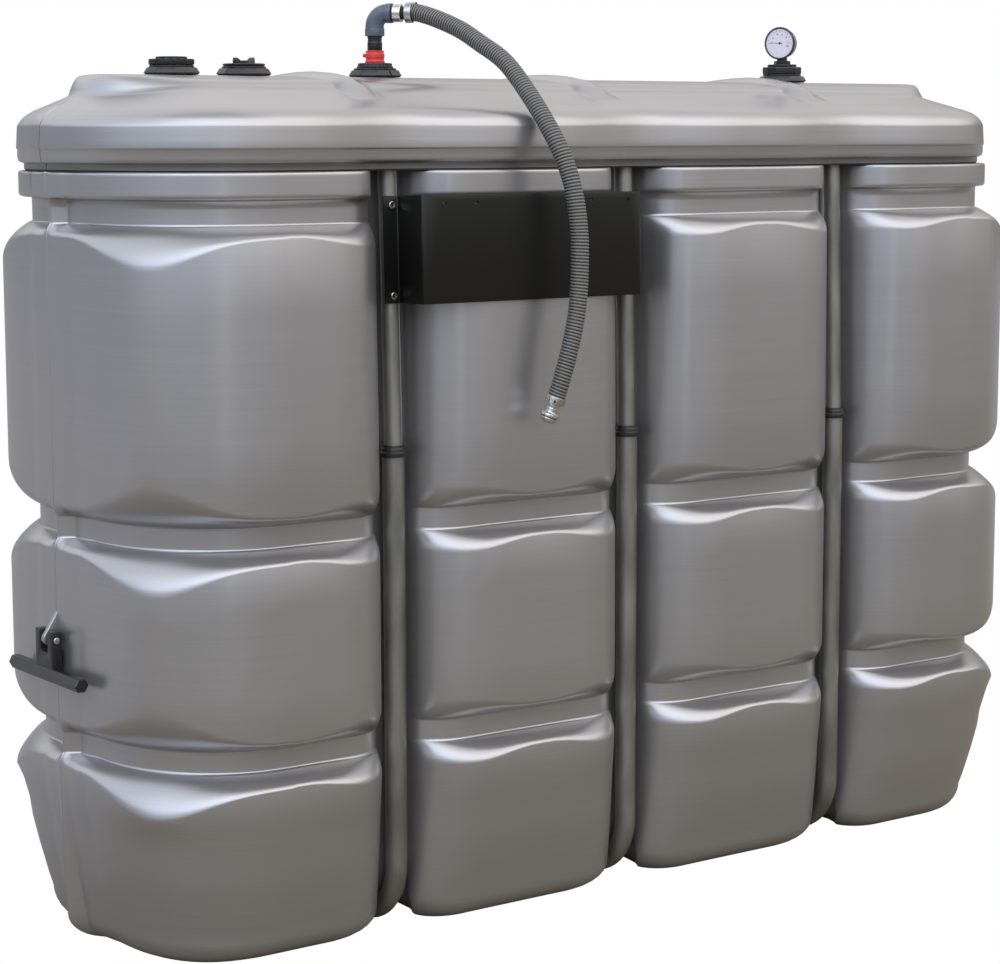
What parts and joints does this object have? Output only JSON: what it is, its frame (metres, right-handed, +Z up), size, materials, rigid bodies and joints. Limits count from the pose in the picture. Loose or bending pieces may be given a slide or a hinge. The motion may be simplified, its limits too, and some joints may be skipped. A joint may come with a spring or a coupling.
{
  "type": "storage tank",
  "caption": "Rectangular grey plastic double-wall liquid storage tank with steel tube hoops, top fittings, level gauge and suction hose.",
  "frame": {"origin": "centre of the tank at floor level", "axes": "+X along the tank away from the screw cap, -Y towards the bracket side, +Z up"},
  "size_m": [2.3372, 0.9204, 1.8137],
  "materials": {
    "tank_plastic": "satin",
    "hoop_steel": "galvanised",
    "black_plastic": "satin",
    "black_sheet": "satin",
    "red_plastic": "gloss",
    "pipe_grey": "satin",
    "zinc_steel": "polished",
    "hose_plastic": "satin",
    "gauge_steel": "gloss",
    "dial_white": "matte",
    "clear_plastic": "translucent"
  },
  "bodies": {
    "tank": {"outer_tank": "tank_plastic", "lid": "tank_plastic", "hoop_lower_1": "hoop_steel", "hoop_upper_1": "hoop_steel", "hoop_ring_front_1": "black_plastic", "hoop_ring_back_1": "black_plastic", "hoop_lower_2": "hoop_steel", "hoop_upper_2": "hoop_steel", "hoop_ring_front_2": "black_plastic", "hoop_ring_back_2": "black_plastic", "hoop_lower_3": "hoop_steel", "hoop_upper_3": "hoop_steel", "hoop_ring_front_3": "black_plastic", "hoop_ring_back_3": "black_plastic", "pump_bracket": "black_sheet", "bracket_screw_upper": "zinc_steel", "bracket_screw_lower": "zinc_steel", "collar_fill": "black_plastic", "collar_plug": "black_plastic", "collar_suction": "black_plastic", "collar_gauge": "black_plastic", "screw_cap": "black_plastic", "plug_disc": "black_plastic", "plug_grip": "black_plastic", "suction_cap": "black_plastic", "suction_fitting": "red_plastic", "riser_pipe": "black_plastic", "pipe_elbow": "pipe_grey", "hose_tail_top": "zinc_steel", "hose_clamp_top": "zinc_steel", "suction_hose": "hose_plastic", "hose_clamp_bottom": "zinc_steel", "hose_coupling": "zinc_steel", "coupling_cap": "zinc_steel", "gauge_nut": "black_plastic", "gauge_stem": "black_plastic", "gauge_case": "gauge_steel", "gauge_dial": "dial_white", "gauge_glass": "clear_plastic", "handle_pin_left": "zinc_steel", "handle_pin_right": "zinc_steel", "leak_indicator": "clear_plastic"},
    "handle_left": {"handle_left": "black_plastic"},
    "handle_right": {"handle_right": "black_plastic"}
  },
  "joints": [
    {"name": "handle_left_pivot", "type": "hinge", "parent": "tank", "child": "handle_left", "pos_m": [-1.153, 0, 0.607], "axis": [0, 1, 0], "range_deg": [0, 150]},
    {"name": "handle_right_pivot", "type": "hinge", "parent": "tank", "child": "handle_right", "pos_m": [1.153, 0, 0.607], "axis": [0, -1, 0], "range_deg": [0, 150]}
  ]
}
